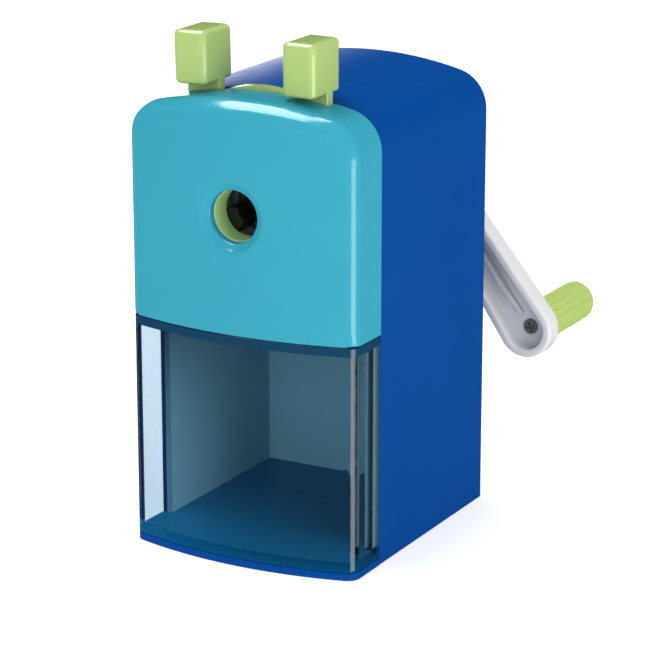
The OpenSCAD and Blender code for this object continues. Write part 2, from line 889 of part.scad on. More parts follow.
module crank_knob() color(knob_green) {
    end_r = 2.6;
    flutes = 14;
    knob_back = knob_front + knob_len;
    difference() {
        turned(crank_x, crank_z) difference() {
            union() {
                translate([0, knob_front]) square([knob_r, knob_len - end_r]);
                translate([0, knob_front]) square([knob_r - end_r, knob_len]);
                translate([knob_r - end_r, knob_back - end_r]) circle(end_r);
            }
            translate([-1, knob_front - 1]) square([sleeve_r + run_gap + 1, bead_y - knob_front + 1.2]);
            translate([-1, bead_y - 0.4]) square([bead_r + 1.25, 3.2]);
        }
        for (k = [0 : flutes - 1]) {
            a = 360 * k / flutes;
            r = knob_r + 0.35;
            bar_y(crank_x + r * cos(a), crank_z + r * sin(a), knob_front - 1, knob_back - end_r, 0.65);
        }
    }
}

// ---- drawer ----

module shavings_drawer() color(smoke_blue) {
    inner = drawer_half - drawer_wall;
    floor_z = drawer_foot + drawer_wall;
    step_in = drawer_step - drawer_wall;
    difference() {
        union() {
            translate([0, 0, drawer_foot]) linear_extrude(drawer_top - drawer_foot) intersection() {
                bow_outline();
                translate([-half_w, -bow_depth - 1]) square([body_w, bow_depth + 1 + drawer_step]);
            }
            translate([-drawer_half, drawer_step - 1, drawer_foot]) {
                cube([2 * drawer_half, drawer_d - drawer_step + 1, drawer_back_h - drawer_foot]);
            }
        }
        translate([0, 0, floor_z]) linear_extrude(case_h) intersection() {
            bow_outline(drawer_wall);
            translate([-half_w, -bow_depth - 1]) square([body_w, bow_depth + 1 + step_in]);
        }
        translate([-inner, step_in - 4, floor_z]) {
            cube([2 * inner, drawer_d - drawer_wall - step_in + 4, case_h]);
        }
    }
}

body_shell();
base_plate();
base_screws();
rubber_feet();
front_bulkhead();
bulkhead_screws();
guide_bush_left();
guide_bush_right();
cutter_tube();
tube_screws();
ring_gear();
rear_bushing();
feed_spring_left();
feed_spring_right();
front_cover();
carriage_plate();
cover_screws();
clamp_body();
clamp_screws();
guide_rod_left();
guide_rod_right();
rod_clips();
lever_left();
lever_right();
lever_spring();
jaw_top();
jaw_left();
jaw_right();
cutter_carrier();
cutter_axle();
helical_cutter();
cutter_pinion();
crank_arm();
hub_washer();
hub_screw();
knob_sleeve();
knob_screw();
crank_knob();
shavings_drawer();
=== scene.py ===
"""Crank pencil sharpener: the looks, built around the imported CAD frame.

X runs right, Y back and Z up. Shapes are drawn in millimetres, and the mesh
helpers turn them into metres. Places come from the frame's own nodes.
"""
import math

import bmesh
import bpy
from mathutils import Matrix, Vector


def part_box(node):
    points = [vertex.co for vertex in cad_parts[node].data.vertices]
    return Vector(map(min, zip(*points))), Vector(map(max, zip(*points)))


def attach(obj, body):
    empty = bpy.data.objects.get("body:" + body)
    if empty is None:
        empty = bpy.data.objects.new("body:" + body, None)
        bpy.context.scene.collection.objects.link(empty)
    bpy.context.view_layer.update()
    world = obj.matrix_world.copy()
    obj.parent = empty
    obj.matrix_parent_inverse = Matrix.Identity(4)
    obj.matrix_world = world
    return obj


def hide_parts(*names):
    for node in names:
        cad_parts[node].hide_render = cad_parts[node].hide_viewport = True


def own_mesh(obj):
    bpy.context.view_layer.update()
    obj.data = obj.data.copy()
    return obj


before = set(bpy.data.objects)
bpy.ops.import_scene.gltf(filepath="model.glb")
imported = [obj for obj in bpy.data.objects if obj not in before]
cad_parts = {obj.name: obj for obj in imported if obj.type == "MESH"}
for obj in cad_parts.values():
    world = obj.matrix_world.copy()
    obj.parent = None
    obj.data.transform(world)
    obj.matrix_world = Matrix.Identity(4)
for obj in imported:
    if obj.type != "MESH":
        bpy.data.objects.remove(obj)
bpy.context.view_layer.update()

MM = 0.001


def box(node):
    """Lowest and highest corner of a CAD node in millimetres."""
    low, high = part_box(node)
    return low / MM, high / MM


# ---- driving dimensions in millimetres ----

# Boxes come from the frame. The plain numbers repeat the CAD design's, or follow from them.
CASE_HIGH = box("body_shell")[1]
COVER_LOW, COVER_HIGH = box("front_cover")
DRAWER_LOW, DRAWER_HIGH = box("shavings_drawer")
ARM_LOW, ARM_HIGH = box("crank_arm")
KNOB_LOW, KNOB_HIGH = box("crank_knob")
BUSHING_LOW, BUSHING_HIGH = box("rear_bushing")

AXIS_Z = (BUSHING_LOW.z + BUSHING_HIGH.z) / 2
HALF_W = CASE_HIGH.x
WALL = 2.0
ARCH_R = 100.6
ROOF_CORNER_R = 9.6
BOW_HALF = DRAWER_HIGH.x
BOW_DEPTH = -COVER_LOW.y
COVER_END = 3.35 - BOW_DEPTH
BOW_R = 102.0
BOW_CORNER_R = 3.3
HOLE_R = 6.4
REAR_HOLE_R = 19.5
NOTCH_X = (-20.7, 18.5)
NOTCH_FRONT = -3.3
LEVER_LEAN = 1.2
LEFT_LIFT = 0.8
LEFT_SHIFT = 1.5
CRANK_ANGLE = math.radians(53.35)
CRANK_LEN = 57.5
CRANK_HUB_R = 10.6
CRANK_ROOT_R = 4.6
CRANK_END_R = 7.4
KNOB_X = (KNOB_LOW.x + KNOB_HIGH.x) / 2
KNOB_Z = (KNOB_LOW.z + KNOB_HIGH.z) / 2

# Two planes that a cut through the arm starts and ends at, clear of both its faces.
BEFORE_ARM, BEHIND_ARM = 70.0, 90.0
# Start, end and place across the arm, and height, of each rib in its pocket.
RIBS = ((7, 29, 1.8, 2.4), (7, 29, -1.8, 2.4), (34, 53.5, 0.0, 2.2))
# Points closer than these are joined: in any mesh, and where a bevel left slivers.
WELD_ALL, WELD_SLIVERS = 0.002, 0.004


# ---- mesh helpers ----

def lerp(a, b, t):
    return a + (b - a) * t


def smooth(t):
    t = min(max(t, 0.0), 1.0)
    return t * t * (3 - 2 * t)


def steps(a, b, n):
    """n values from a to b, both ends included."""
    return [lerp(a, b, i / (n - 1)) for i in range(n)]


def quarter(n):
    """Angles from 0 to a quarter turn, for a fillet's rows."""
    return steps(0.0, math.pi / 2, n)


def add_object(name, data):
    """A new object in the scene for a mesh, a light or a camera."""
    obj = bpy.data.objects.new(name, data)
    bpy.context.scene.collection.objects.link(obj)
    return obj


def shade_smooth(obj):
    for polygon in obj.data.polygons:
        polygon.use_smooth = True


def from_bmesh(name, bm):
    """An object from a bmesh, which is used up, with its faces turned outwards."""
    bmesh.ops.recalc_face_normals(bm, faces=bm.faces)
    mesh = bpy.data.meshes.new(name)
    bm.to_mesh(mesh)
    bm.free()
    return add_object(name, mesh)


def turn_outwards(obj):
    """Turns a mesh's faces outwards again after its points have moved."""
    bm = bmesh.new()
    bm.from_mesh(obj.data)
    bmesh.ops.recalc_face_normals(bm, faces=bm.faces)
    bm.to_mesh(obj.data)
    bm.free()
    return obj


def make(name, points, faces):
    """A smooth mesh object from points in millimetres."""
    mesh = bpy.data.meshes.new(name)
    mesh.from_pydata([tuple(c * MM for c in p) for p in points], [], faces)
    bm = bmesh.new()
    bm.from_mesh(mesh)
    bmesh.ops.remove_doubles(bm, verts=bm.verts, dist=WELD_ALL * MM)
    bmesh.ops.recalc_face_normals(bm, faces=bm.faces)
    bm.to_mesh(mesh)
    bm.free()
    obj = add_object(name, mesh)
    shade_smooth(obj)
    return obj


def apply_modifiers(obj):
    """Turns what the modifiers give into the object's own mesh."""
    graph = bpy.context.evaluated_depsgraph_get()
    mesh = bpy.data.meshes.new_from_object(obj.evaluated_get(graph))
    obj.modifiers.clear()
    obj.data = mesh


def combine(obj, other, operation, folded=False):
    """Adds or cuts away another closed mesh, which is used up. folded is for a
    mesh whose tight fillets cross each other."""
    boolean = obj.modifiers.new("combine", "BOOLEAN")
    boolean.operation = operation
    boolean.solver = "EXACT"
    boolean.use_self = folded
    boolean.object = other
    apply_modifiers(obj)
    bpy.data.objects.remove(other)
    shade_smooth(obj)
    return obj


def weld(obj, distance):
    """Joins points closer than the distance, which clears away thin slivers."""
    modifier = obj.modifiers.new("weld", "WELD")
    modifier.merge_threshold = distance * MM


def soften(obj, width, segments=2, angle=40):
    """Small moulded radii on the sharp edges, with flat faces kept flat."""
    bevel = obj.modifiers.new("edges", "BEVEL")
    bevel.width = width * MM
    bevel.segments = segments
    bevel.limit_method = "ANGLE"
    bevel.angle_limit = math.radians(angle)
    bevel.miter_outer = "MITER_ARC"
    weigh_normals(obj)


def weigh_normals(obj):
    """Shades by the larger faces, so that flat faces look flat."""
    normals = obj.modifiers.new("normals", "WEIGHTED_NORMAL")
    normals.keep_sharp = True


def mark_sharp(obj, angle=35):
    """Edges sharper than the angle shade as edges, and flat faces look flat."""
    bm = bmesh.new()
    bm.from_mesh(obj.data)
    for edge in bm.edges:
        if len(edge.link_faces) == 2 and edge.calc_face_angle() > math.radians(angle):
            edge.smooth = False
    bm.to_mesh(obj.data)
    bm.free()
    weigh_normals(obj)


def grid_faces(rows, columns, first=0, skip=()):
    """Quads between rows that close round, without the skipped (row, column) cells."""
    faces = []
    for r in range(rows - 1):
        for c in range(columns):
            if (r, c) not in skip:
                a = first + r * columns
                d = (c + 1) % columns
                faces.append((a + c, a + d, a + columns + d, a + columns + c))
    return faces


def sheet_rows(name, rows, caps=False):
    """A closed surface from rows of points; caps close the first and last row."""
    columns = len(rows[0])
    faces = grid_faces(len(rows), columns)
    if caps:
        faces.append(tuple(range(columns)))
        faces.append(tuple((len(rows) - 1) * columns + c for c in range(columns)))
    return make(name, [p for row in rows for p in row], faces)


def double_skin(name, outer, inner, skip=(), capped=False):
    """A wall between two grids of the same layout. Its open borders are closed,
    and capped closes both skins behind their last row instead."""
    rows, columns = len(outer), len(outer[0])
    count = rows * columns
    faces = grid_faces(rows, columns, 0, skip) + grid_faces(rows, columns, count, skip)
    edges = {}
    for face in grid_faces(rows, columns, 0, skip):
        for i in range(4):
            edge = (face[i], face[(i + 1) % 4])
            edges[edge] = edges.get(edge, 0) + 1
    last = range(count - columns, count)
    for a, b in edges:
        open_edge = (b, a) not in edges
        if open_edge and not (capped and a in last and b in last):
            faces.append((a, b, b + count, a + count))
    if capped:
        faces += [tuple(last), tuple(i + count for i in last)]
    return make(name, [p for skin in (outer, inner) for row in skin for p in row], faces)


def lathe(name, profile, x, z, segments=64, ripple=None):
    """A solid turned about an axis along Y, from (radius, y) pairs. ripple
    changes the radius with the angle and y."""
    rows = []
    for radius, y in profile:
        row = []
        for k in range(segments):
            angle = 2 * math.pi * k / segments
            r = radius + (ripple(angle, radius, y) if ripple else 0.0)
            row.append((x + r * math.cos(angle), y, z + r * math.sin(angle)))
        rows.append(row)
    return sheet_rows(name, rows)


def rounded_block(name, low, high, radius, crown=0.0, cells=6, arc=5):
    """A block with round edges and slightly crowned faces, within its two corners."""
    low = Vector(low) + Vector((crown,) * 3)
    high = Vector(high) - Vector((crown,) * 3)
    turn = [radius * math.tan(math.pi / 4 * k / arc) for k in range(arc + 1)]
    stations = []
    for axis in range(3):
        start, end = low[axis] + radius, high[axis] - radius
        middle = steps(start, end, cells + 1)[1:-1]
        stations.append([start - t for t in reversed(turn)] + middle + [end + t for t in turn])
    bm = bmesh.new()
    corner, found = [len(s) - 1 for s in stations], {}

    def vertex(index):
        if index not in found:
            p = Vector(stations[axis][index[axis]] for axis in range(3))
            core = Vector(
                min(max(p[axis], low[axis] + radius), high[axis] - radius) for axis in range(3)
            )
            p = core + (p - core).normalized() * radius if (p - core).length > 0 else p
            centre, half = (low + high) / 2, (high - low) / 2
            u = Vector((p[i] - centre[i]) / half[i] for i in range(3))
            for i in range(3):
                j, k = (i + 1) % 3, (i + 2) % 3
                p[i] += crown * u[i] * max(1 - u[j] ** 2, 0) * max(1 - u[k] ** 2, 0)
            found[index] = bm.verts.new(p * MM)
        return found[index]

    for axis in range(3):
        j, k = (axis + 1) % 3, (axis + 2) % 3
        for side in (0, corner[axis]):
            for a in range(corner[j]):
                for b in range(corner[k]):
                    ring = []
                    for da, db in ((0, 0), (1, 0), (1, 1), (0, 1)):
                        index = [0, 0, 0]
                        index[axis], index[j], index[k] = side, a + da, b + db
                        ring.append(vertex(tuple(index)))
                    bm.faces.new(ring)
    block = from_bmesh(name, bm)
    shade_smooth(block)
    return block


def plate(name, loops, y0, y1):
    """A flat plate between two Y planes; the first loop is its outline and the
    others are its holes, all as (x, z) points."""
    bm = bmesh.new()
    for loop in loops:
        verts = [bm.verts.new((x * MM, y0 * MM, z * MM)) for x, z in loop]
        for i, vert in enumerate(verts):
            bm.edges.new((vert, verts[(i + 1) % len(verts)]))
    filled = bmesh.ops.triangle_fill(bm, use_beauty=True, edges=bm.edges[:])
    faces = [g for g in filled["geom"] if isinstance(g, bmesh.types.BMFace)]
    pushed = bmesh.ops.extrude_face_region(bm, geom=faces, use_keep_orig=True)
    verts = [g for g in pushed["geom"] if isinstance(g, bmesh.types.BMVert)]
    bmesh.ops.translate(bm, verts=verts, vec=(0, (y1 - y0) * MM, 0))
    return from_bmesh(name, bm)


def coil(name, place, length, turns, coil_r, wire_r, dead=1.2, sides=10, per_turn=28):
    """A wound spring with dead end turns that lie close; place turns (across, up,
    along) into the frame's X, Y and Z."""
    count = int(turns * per_turn)
    rows = []
    dead_rise = 2.05 * wire_r
    live = turns - 2 * dead
    live_rise = (length - 2 * wire_r - 2 * dead * dead_rise) / live
    for i in range(count + 1):
        turn = turns * i / count
        along = wire_r + dead_rise * min(turn, dead) + live_rise * min(max(turn - dead, 0), live)
        along += dead_rise * max(turn - dead - live, 0)
        angle = 2 * math.pi * turn
        row = []
        for k in range(sides):
            a = 2 * math.pi * k / sides
            r = coil_r + wire_r * math.cos(a)
            row.append(place(r * math.cos(angle), r * math.sin(angle), along + wire_r * math.sin(a)))
        rows.append(row)
    return sheet_rows(name, rows, caps=True)


def arched(half, top, arch, corner, inset=0.0, foot=0.0, foot_inset=0.0,
           sides=14, corners=10, arcs=30, bottom=24, snap=()):
    """Points of an outline with straight sides, an arched top and round corners,
    from the right foot over the top to the left foot and back along the bottom.
    snap lists x values that points of the arch must lie on."""
    centre = top - arch
    corner_x = half - corner
    corner_z = centre + math.sqrt((arch - corner) ** 2 - corner_x ** 2)
    lean = math.asin(corner_x / (arch - corner))
    low = foot + foot_inset
    radius = corner - inset
    right = [(half - inset, z) for z in steps(low, corner_z, sides)[:-1]]
    for angle in steps(0.0, math.pi / 2 - lean, corners)[:-1]:
        right.append((corner_x + radius * math.cos(angle), corner_z + radius * math.sin(angle)))
    angles = steps(lean, -lean, arcs)
    for x in snap:
        wanted = math.asin(x / arch)
        nearest = min(range(1, arcs - 1), key=lambda i: abs(angles[i] - wanted))
        angles[nearest] = wanted
    over = [((arch - inset) * math.sin(a), centre + (arch - inset) * math.cos(a)) for a in angles]
    left = [(-x, z) for x, z in reversed(right)]
    floor = [(x, low) for x in steps(inset - half, half - inset, bottom + 1)[1:-1]]
    return right + over + left + floor


# ---- materials ----

NOISE_SPAN = (0.3, 0.7)


def new_material(name):
    """A material with its nodes, its links and its shader."""
    material = bpy.data.materials.new(name)
    material.use_nodes = True
    nodes = material.node_tree.nodes
    return material, nodes, material.node_tree.links, nodes["Principled BSDF"]


def noise(nodes, links, scale, detail, stretch=None):
    """Noise over the object's own coordinates, its Fac output."""
    coordinates = nodes.new("ShaderNodeTexCoord")
    texture = nodes.new("ShaderNodeTexNoise")
    texture.inputs["Scale"].default_value = scale
    texture.inputs["Detail"].default_value = detail
    source = coordinates.outputs["Object"]
    if stretch:
        mapping = nodes.new("ShaderNodeMapping")
        mapping.inputs["Scale"].default_value = stretch
        links.new(source, mapping.inputs["Vector"])
        source = mapping.outputs["Vector"]
    links.new(source, texture.inputs["Vector"])
    return texture.outputs["Fac"]


def blend_colours(nodes, links, factor, low, high, span=(0.35, 0.65)):
    """A colour that runs from low to high with a factor."""
    ramp = nodes.new("ShaderNodeValToRGB")
    ramp.color_ramp.elements[0].position = span[0]
    ramp.color_ramp.elements[0].color = (*low, 1)
    ramp.color_ramp.elements[1].position = span[1]
    ramp.color_ramp.elements[1].color = (*high, 1)
    links.new(factor, ramp.inputs["Fac"])
    return ramp.outputs["Color"]


def ranged(nodes, links, factor, low, high):
    """A number that runs from low to high with a factor."""
    mapped = nodes.new("ShaderNodeMapRange")
    mapped.inputs["From Min"].default_value = NOISE_SPAN[0]
    mapped.inputs["From Max"].default_value = NOISE_SPAN[1]
    mapped.inputs["To Min"].default_value = low
    mapped.inputs["To Max"].default_value = high
    links.new(factor, mapped.inputs["Value"])
    return mapped.outputs["Result"]


def bumped(nodes, links, shader, height, strength, distance):
    """Fine relief on a shader, with its depth in millimetres."""
    bump = nodes.new("ShaderNodeBump")
    bump.inputs["Strength"].default_value = strength
    bump.inputs["Distance"].default_value = distance * MM
    links.new(height, bump.inputs["Height"])
    links.new(bump.outputs["Normal"], shader.inputs["Normal"])


def plastic(name, colour, roughness, specular=0.5, coat=0.0, grain=0.0005, vary=0.02):
    """Moulded plastic: faint colour drift, uneven gloss and a fine skin texture."""
    material, nodes, links, shader = new_material(name)
    low = tuple(c * (1 - vary) for c in colour)
    high = tuple(min(c * (1 + vary), 1) for c in colour)
    drift = noise(nodes, links, scale=38, detail=3)
    links.new(blend_colours(nodes, links, drift, low, high), shader.inputs["Base Color"])
    gloss = noise(nodes, links, scale=160, detail=4)
    links.new(ranged(nodes, links, gloss, roughness * 0.94, roughness * 1.08), shader.inputs["Roughness"])
    skin = noise(nodes, links, scale=520, detail=2)
    bumped(nodes, links, shader, skin, strength=0.5, distance=grain)
    shader.inputs["Specular IOR Level"].default_value = specular
    shader.inputs["Coat Weight"].default_value = coat
    shader.inputs["Coat Roughness"].default_value = 0.06
    return material


def clear_plastic(name, tint, roughness, clear=1.0):
    """Tinted see-through plastic with faint flow marks from the mould."""
    material, nodes, links, shader = new_material(name)
    drift = noise(nodes, links, scale=26, detail=2, stretch=(1, 1, 0.3))
    low = tuple(c * 0.97 for c in tint)
    links.new(blend_colours(nodes, links, drift, low, tint), shader.inputs["Base Color"])
    gloss = noise(nodes, links, scale=240, detail=3)
    links.new(ranged(nodes, links, gloss, roughness * 0.92, roughness * 1.08), shader.inputs["Roughness"])
    flow = noise(nodes, links, scale=60, detail=2)
    bumped(nodes, links, shader, flow, strength=0.2, distance=0.0003)
    shader.inputs["Transmission Weight"].default_value = clear
    shader.inputs["IOR"].default_value = 1.49
    return material


def metal(name, colour, roughness, stretch=(1, 1, 1), scratch=0.004, vary=0.12, solid=1.0):
    """Metal with drawn or turned marks along one direction."""
    material, nodes, links, shader = new_material(name)
    low = tuple(c * (1 - vary) for c in colour)
    marks = noise(nodes, links, scale=900, detail=5, stretch=stretch)
    links.new(blend_colours(nodes, links, marks, low, colour), shader.inputs["Base Color"])
    links.new(ranged(nodes, links, marks, roughness * 0.75, roughness * 1.3), shader.inputs["Roughness"])
    bumped(nodes, links, shader, marks, strength=0.6, distance=scratch)
    shader.inputs["Metallic"].default_value = solid
    return material


def rubber(name, colour):
    """Matt rubber with a coarse skin."""
    material, nodes, links, shader = new_material(name)
    skin = noise(nodes, links, scale=1100, detail=6)
    low = tuple(c * 0.7 for c in colour)
    links.new(blend_colours(nodes, links, skin, low, colour), shader.inputs["Base Color"])
    links.new(ranged(nodes, links, skin, 0.7, 0.9), shader.inputs["Roughness"])
    bumped(nodes, links, shader, skin, strength=0.7, distance=0.03)
    shader.inputs["Specular IOR Level"].default_value = 0.3
    return material


FINISH = {
    "case_blue": plastic("case_blue", (0.0, 0.057, 0.266), 0.30, specular=0.06),
    "cover_cyan": plastic("cover_cyan", (0.036, 0.335, 0.45), 0.17, specular=0.45, coat=0.2),
    "tab_green": plastic("tab_green", (0.40, 0.55, 0.185), 0.14, specular=0.5, coat=0.35),
    "clamp_green_painted_light": plastic("clamp_green_painted_light", (0.52, 0.78, 0.34), 0.3, specular=0.4),
    # Painted light: a lighter copy of tab_green for the clamp ring, brightened to stand in for light it
    # lacks in the shade of the hole.
    "knob_green": plastic("knob_green", (0.44, 0.58, 0.155), 0.34, specular=0.4),
    "crank_grey": plastic("crank_grey", (0.70, 0.705, 0.71), 0.26, specular=0.5, vary=0.01),
    "drawer_clear": clear_plastic("drawer_clear", (0.76, 0.87, 0.93), 0.03),
    "drawer_back": clear_plastic("drawer_back", (0.30, 0.59, 0.72), 0.4, 0.12),
    "drawer_floor": clear_plastic("drawer_floor", (0.005, 0.22, 0.46), 0.4, 0.15),
    # Painted shade: an opaque dark navy for the band along the drawer's top edge, where the clear wall
    # looks dark.
    "drawer_rim": plastic("drawer_rim", (0.006, 0.045, 0.10), 0.12, specular=0.5),
    "frame_grey": plastic("frame_grey", (0.16, 0.165, 0.18), 0.45, grain=0.006),
    "frame_dark": plastic("frame_dark", (0.022, 0.023, 0.026), 0.42, grain=0.006, vary=0.15),
    "jaw_black": plastic("jaw_black", (0.018, 0.018, 0.016), 0.38, grain=0.006, vary=0.2),
    "foot_rubber": rubber("foot_rubber", (0.03, 0.03, 0.03)),
    "steel": metal("steel", (0.62, 0.63, 0.65), 0.26, (0.15, 1, 1)),
    "screw_steel": metal("screw_steel", (0.30, 0.29, 0.28), 0.3, (1, 0.3, 1), solid=0.5),
    "cast_steel": metal("cast_steel", (0.34, 0.34, 0.35), 0.48, scratch=0.02, vary=0.25),
    "cutter_steel": metal("cutter_steel", (0.42, 0.43, 0.45), 0.24, (1, 0.12, 1)),
    "brass": metal("brass", (0.66, 0.45, 0.16), 0.28, (1, 0.2, 1)),
}

CARRIED_OVER = {
    "case_blue": ["base_plate"],
    # The clamp ring takes the lighter copy of tab_green, painted light.
    "clamp_green_painted_light": ["clamp_body"],
    "crank_grey": ["knob_sleeve"],
    "frame_grey": ["front_bulkhead", "carriage_plate", "ring_gear"],
    "frame_dark": ["cutter_tube"],
    "jaw_black": ["jaw_top", "jaw_left", "jaw_right"],
    "foot_rubber": ["rubber_feet"],
    "steel": [
        "base_screws", "bulkhead_screws", "tube_screws", "cover_screws", "clamp_screws",
        "guide_rod_left", "guide_rod_right", "rod_clips", "hub_washer", "cutter_axle",
        "hub_screw",
    ],
    "screw_steel": ["knob_screw"],
    "cast_steel": ["cutter_carrier"],
    "cutter_steel": ["helical_cutter"],
    "brass": ["guide_bush_left", "guide_bush_right", "rear_bushing", "cutter_pinion"],
}
# The nodes whose edge radii leave slivers, which a second weld clears away.
SLIVERED = ("cutter_carrier",)
# Finishes of this script's own, and the record's slot that each one stands for.
SLOT_OF = {"screw_steel": "steel", "clamp_green_painted_light": "tab_green"}
# Edge radii of the larger CAD nodes; the others have the small one.
EDGE_WIDTH = {
    "base_plate": 0.25, "cutter_tube": 0.5, "front_bulkhead": 0.3, "carriage_plate": 0.3,
    "clamp_body": 0.25, "cutter_carrier": 0.3, "rear_bushing": 0.2,
}
SMALL_EDGE = 0.12


def dress(obj, body, finish, replaced):
    """Gives a new piece its material and body, and hides the CAD node it stands for."""
    obj.data.materials.clear()
    obj.data.materials.append(FINISH[finish])
    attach(obj, body)
    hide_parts(replaced)


def carry_over():
    """Materials and fine edge radii for the CAD nodes that stay."""
    for finish, names in CARRIED_OVER.items():
        for name in names:
            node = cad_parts[name]
            for slot in node.material_slots:
                slot.material = FINISH[finish]
            SLOT_OF.get(finish, finish)
            weld(node, WELD_ALL)
            soften(node, EDGE_WIDTH.get(name, SMALL_EDGE), angle=35)
            if name in SLIVERED:
                weld(node, WELD_SLIVERS)


# ---- case ----

def body_shell():
    """The case: straight sides, an arched roof, a rounded back edge and the
    round hole that the cutter housing stands out of."""
    back = CASE_HIGH.y
    edge_r, least_r = 1.0, 0.1
    straight = (0.0, 20.0, 40.0)
    arc = quarter(8)
    counts = dict(sides=20, corners=10, arcs=30, bottom=20)

    def outline(inset):
        return arched(HALF_W, CASE_HIGH.z, ARCH_R, ROOF_CORNER_R, inset, **counts)

    def skin(inset):
        """Rows along the walls, round the back edge and in to the hole."""
        back_y, radius = back - inset, max(edge_r - inset, least_r)
        rows = [[(x, y, z) for x, z in outline(inset)] for y in straight]
        for angle in arc:
            depth = radius * (1 - math.cos(angle))
            y = back_y - radius + radius * math.sin(angle)
            rows.append([(x, y, z) for x, z in outline(inset + depth)])
        rim = rows[-1]
        hole_r = REAR_HOLE_R + 0.5
        # How much wider than the hole its last two rows are, and how deep they lie.
        if inset == 0:
            hole_edge = ((0.15, 0.12), (0.0, 0.5))
        else:
            hole_edge = ((0.25, 0.0), (0.0, 0.0))
        for share in (0.3, 0.65, 1.0):
            row = []
            for x, y, z in rim:
                angle = math.atan2(z - AXIS_Z, x)
                hole = (hole_r * math.cos(angle), AXIS_Z + hole_r * math.sin(angle))
                row.append((lerp(x, hole[0], share), back_y, lerp(z, hole[1], share)))
            rows.append(row)
        for grow, fall in hole_edge:
            row = []
            for x, y, z in rim:
                angle = math.atan2(z - AXIS_Z, x)
                r = REAR_HOLE_R + grow
                row.append((r * math.cos(angle), back_y - fall, AXIS_Z + r * math.sin(angle)))
            rows.append(row)
        return rows

    outer, inner = skin(0.0), skin(WALL)
    columns = len(outer[0])
    wall_rows = len(straight) + len(arc) - 1
    open_from = columns - counts["bottom"]
    skip = {(r, c) for r in range(wall_rows) for c in range(open_from, columns)}
    shell = double_skin("case_shell", outer, inner, skip)
    soften(shell, 0.35, segments=3, angle=50)
    dress(shell, "housing", "case_blue", "body_shell")


def bow_front(x, inset=0.0):
    """Y of the bowed front at x, seen from above, round corners included."""
    half = BOW_HALF - inset
    radius, corner = BOW_R - inset, BOW_CORNER_R - inset
    centre_y = BOW_R - BOW_DEPTH
    corner_x = BOW_HALF - BOW_CORNER_R
    corner_y = centre_y - math.sqrt((BOW_R - BOW_CORNER_R) ** 2 - corner_x ** 2)
    ax = min(abs(x), half)
    if ax <= corner_x * radius / (BOW_R - BOW_CORNER_R):
        return centre_y - math.sqrt(radius ** 2 - ax ** 2)
    return corner_y - math.sqrt(max(corner ** 2 - (ax - corner_x) ** 2, 0.0))


def front_cover():
    """The light blue cover: bowed, with a soft top edge, the pencil's funnel and
    the notch in its roof that the levers stand in."""
    back = COVER_HIGH.y
    counts = dict(sides=15, corners=12, arcs=34, bottom=26)
    soft_edge, notch_slack = 5.0, 0.1
    lip_out, lip_in, boss = HOLE_R + 2.7, HOLE_R + 5.0, HOLE_R + 4
    arc = quarter(10)
    scale = BOW_HALF / HALF_W

    def outline(inset):
        points = arched(HALF_W, COVER_HIGH.z, ARCH_R, ROOF_CORNER_R, inset, COVER_LOW.z, inset,
                        snap=NOTCH_X, **counts)
        return [(x * scale, z) for x, z in points]

    side, corner, top = counts["sides"] - 1, counts["corners"] - 1, counts["arcs"]
    weight = [0.0] * side + [smooth(i / corner) for i in range(corner)] + [1.0] * top
    weight += [smooth(1 - (i + 1) / corner) for i in range(corner)] + [0.0] * side
    weight += [0.0] * (counts["bottom"] - 1)

    def skin(inset):
        """Rows along the walls, over the soft edge, across the front and down the hole."""
        radius = soft_edge - inset
        rim = [
            (x, bow_front(x, inset) + w * radius, z)
            for (x, z), w in zip(outline(inset), weight)
        ]
        rows = [[(x, back, z) for x, y, z in rim], [(x, NOTCH_FRONT, z) for x, y, z in rim]]
        rows.append([(x, lerp(NOTCH_FRONT, y, 0.5), z) for x, y, z in rim])
        for angle in arc:
            depth = radius * (1 - math.cos(angle))
            fall = radius * (1 - math.sin(angle))
            row = []
            for (x, z), w in zip(outline(inset + depth), weight):
                row.append((x, bow_front(x, inset) + w * fall, z))
            rows.append(row)
        rim = rows[-1]
        lip_r = lip_out if inset == 0 else lip_in

        def hole_row(r, depth, level):
            """A row round the hole; level 0 follows the bow and 1 lies flat."""
            row = []
            for x, y, z in rim:
                angle = math.atan2(z - AXIS_Z, x)
                hx = r * math.cos(angle)
                y = lerp(bow_front(hx, inset), bow_front(0.0, inset), level) + depth
                row.append((hx, y, AXIS_Z + r * math.sin(angle)))
            return row

        for share in steps(0.0, 1.0, 9)[1:]:
            row = []
            for x, y, z in rim:
                angle = math.atan2(z - AXIS_Z, x)
                hx = lerp(x, lip_r * math.cos(angle), share)
                hz = lerp(z, AXIS_Z + lip_r * math.sin(angle), share)
                row.append((hx, bow_front(hx, inset), hz))
            rows.append(row)
        end = COVER_END - bow_front(0.0, inset)
        # The funnel's rows: radius, depth behind the bow, and level.
        if inset == 0:
            lip = [(8.65, 0.03, 0.0), (8.3, 0.16, 0.2), (8.0, 0.42, 0.4), (7.6, 0.8, 0.6),
                   (7.1, 1.15, 0.8), (6.75, 1.36, 1.0), (6.5, 1.6, 1.0), (HOLE_R, 1.95, 1.0),
                   (HOLE_R, end, 1.0)]
        else:
            lip = [(11.2, 0.03, 0.0), (11.0, 0.08, 0.2), (10.8, 0.2, 0.4), (10.6, 0.4, 0.6),
                   (10.5, 0.6, 0.8), (boss, 0.75, 1.0), (boss, 0.9, 1.0), (boss, 1.1, 1.0),
                   (boss, end, 1.0)]
        return rows + [hole_row(*step) for step in lip]

    outer, inner = skin(0.0), skin(WALL)
    first = side + corner
    notch = [
        c for c in range(first, first + top - 1)
        if NOTCH_X[0] - notch_slack <= min(outer[0][c][0], outer[0][c + 1][0]) / scale
        and max(outer[0][c][0], outer[0][c + 1][0]) / scale <= NOTCH_X[1] + notch_slack
    ]
    cover = double_skin("pencil_cover", outer, inner, {(0, c) for c in notch})
    soften(cover, 0.3, segments=3, angle=45)
    weld(cover, WELD_SLIVERS)
    dress(cover, "carriage", "cover_cyan", "front_cover")


# ---- drawer ----

